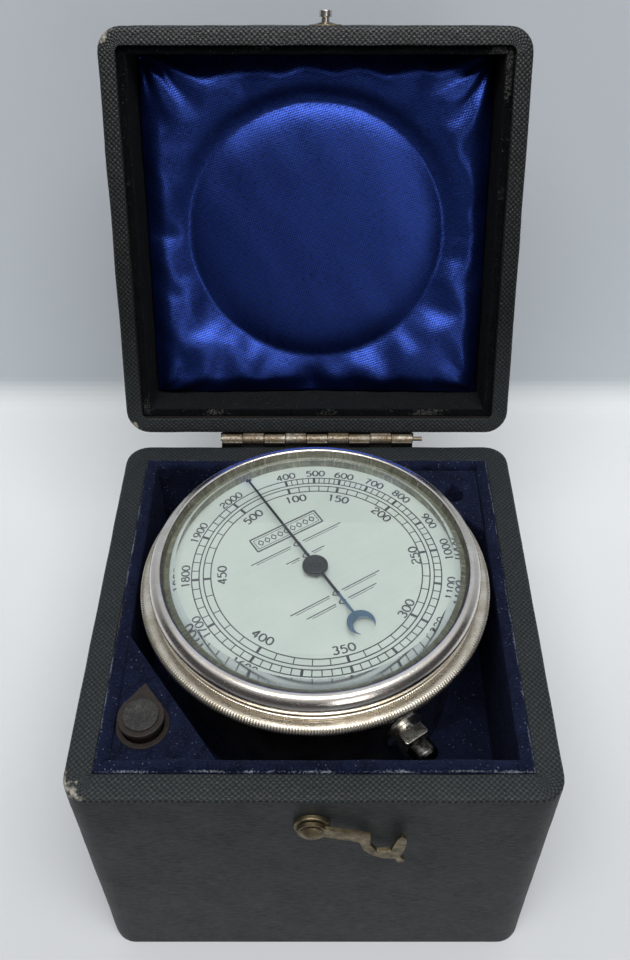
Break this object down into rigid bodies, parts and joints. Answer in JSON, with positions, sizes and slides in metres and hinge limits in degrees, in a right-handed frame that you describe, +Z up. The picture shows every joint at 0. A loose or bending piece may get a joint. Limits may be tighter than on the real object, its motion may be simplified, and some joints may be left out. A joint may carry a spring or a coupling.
{
  "type": "cased speed indicator",
  "caption": "Round dial speed indicator with pointer, bevelled glass and side spindle, standing in a velvet-lined hinged box with a satin lid pad and a swing hook.",
  "frame": {"origin": "centre of the case's underside, on the surface that it stands on", "axes": "+Z up out of the case; +X towards the right as seen from the front, along the hinge pin; the case's front, with the hook, faces -Y and the hinge is at +Y"},
  "size_m": [0.1404, 0.2246, 0.239],
  "materials": {
    "wood": "plain pine under the covering",
    "leathercloth": "worn black leathercloth with a fine grain",
    "under_sheet": "thin black sheet",
    "velvet": "deep blue velvet with pale lint",
    "lid_lining": "dark cloth with frayed edges",
    "satin": "royal blue satin, diagonal twill",
    "rusty_steel": "bronze-brown tarnish with rust",
    "tarnished_brass": "dull tarnished brass",
    "brass": "turned brass",
    "nickel": "warm worn nickel plating",
    "japanned": "black japanned",
    "steel": "plain steel",
    "blued_steel": "blued steel",
    "dark_steel": "oil-blackened steel",
    "silvered": "silvered dial, finely brushed",
    "glass": "clear bevelled glass"
  },
  "bodies": {
    "case": {"case_carcass": "wood", "case_covering": "leathercloth", "bottom_sheet": "under_sheet", "case_liners": "velvet", "floor_pad": "velvet", "shelf_rails": "wood", "rest_shelf": "velvet", "front_left_block": "velvet", "back_right_block": "velvet", "tip_hole_ring": "rusty_steel", "base_hinge_leaf": "rusty_steel", "base_hinge_screws": "rusty_steel", "hinge_pin": "rusty_steel", "hook_washer": "tarnished_brass", "hook_rivet": "tarnished_brass"},
    "hook": {"hook": "tarnished_brass"},
    "tip": {"tip_body": "rusty_steel", "tip_face": "dark_steel"},
    "lid": {"lid_carcass": "wood", "lid_covering": "leathercloth", "lid_liners": "lid_lining", "satin_pad": "satin", "lid_hinge_leaf": "rusty_steel", "lid_hinge_screws": "rusty_steel", "catch_plate": "tarnished_brass", "catch_peg": "tarnished_brass"},
    "instrument": {"drum": "japanned", "milled_flange": "nickel", "bezel": "nickel", "glass": "glass", "spacer_ring": "silvered", "dial": "silvered", "movement_plate": "brass", "pillars": "brass", "front_bracket": "brass", "rear_bracket": "brass", "arbor_bridge": "brass", "gland": "nickel", "gland_nut": "nickel", "slow_gland": "nickel", "slow_gland_nut": "nickel", "hair_spring": "blued_steel"},
    "spindle": {"spindle": "steel", "drive_socket": "dark_steel", "governor_cage": "brass", "cage_pins": "steel", "governor_springs": "blued_steel", "small_gear": "brass"},
    "slow_spindle": {"slow_spindle": "steel", "large_gear": "brass"},
    "flyweight_a": {"flyweight_a": "nickel"},
    "flyweight_b": {"flyweight_b": "nickel"},
    "sleeve": {"sliding_sleeve": "nickel"},
    "rack": {"rack_yoke": "steel"},
    "pointer": {"pointer_arbor": "steel", "pointer": "blued_steel", "pointer_boss": "dark_steel"}
  },
  "joints": [
    {"name": "lid_hinge", "type": "hinge", "parent": "case", "child": "lid", "pos_m": [0, 0.0721, 0.1042], "axis": [1, 0, 0], "range_deg": [0, 111.2]},
    {"name": "hook_pivot", "type": "hinge", "parent": "case", "child": "hook", "pos_m": [-0.0006, -0.072, 0.0904], "axis": [0, -1, 0], "range_deg": [-50, 107]},
    {"name": "tip_lift", "type": "slide", "parent": "case", "child": "tip", "axis": [0, 0, -1], "range_m": [-0.03, 0]},
    {"name": "instrument_lift", "type": "slide", "parent": "case", "child": "instrument", "axis": [0, 0, -1], "range_m": [-0.065, 0]},
    {"name": "spindle_spin", "type": "hinge", "parent": "instrument", "child": "spindle", "pos_m": [0, 0, 0.0878], "axis": [0.5736, -0.8192, 0], "continuous": true},
    {"name": "slow_spindle_spin", "type": "hinge", "parent": "instrument", "child": "slow_spindle", "pos_m": [0, 0, 0.0758], "axis": [0.5736, -0.8192, 0], "continuous": true},
    {"name": "flyweight_a_swing", "type": "hinge", "parent": "spindle", "child": "flyweight_a", "pos_m": [0.00975, -0.01393, 0.0998], "axis": [-0.8192, -0.5736, 0], "range_deg": [0, 60.5]},
    {"name": "flyweight_b_swing", "type": "hinge", "parent": "spindle", "child": "flyweight_b", "pos_m": [0.00975, -0.01393, 0.0758], "axis": [0.8192, 0.5736, 0], "range_deg": [0, 60.5]},
    {"name": "sleeve_slide", "type": "slide", "parent": "spindle", "child": "sleeve", "axis": [0.5736, -0.8192, 0], "range_m": [0, 0.00755], "stiffness_N_per_m": 38, "springref_m": -0.0036},
    {"name": "rack_slide", "type": "slide", "parent": "instrument", "child": "rack", "axis": [0.5736, -0.8192, 0], "range_m": [0, 0.0076]},
    {"name": "pointer_turn", "type": "hinge", "parent": "instrument", "child": "pointer", "pos_m": [0, 0, 0.1155], "axis": [0, 0, -1], "range_deg": [0, 348]}
  ],
  "couplings": [
    {"joint": "slow_spindle_spin", "follows": "spindle_spin", "ratio": -0.25},
    {"joint": "flyweight_a_swing", "follows": "sleeve_slide", "rad_per_m": 138.7},
    {"joint": "flyweight_b_swing", "follows": "sleeve_slide", "rad_per_m": 138.7},
    {"joint": "rack_slide", "follows": "sleeve_slide", "ratio": 1},
    {"joint": "pointer_turn", "follows": "sleeve_slide", "rad_per_m": 800}
  ]
}
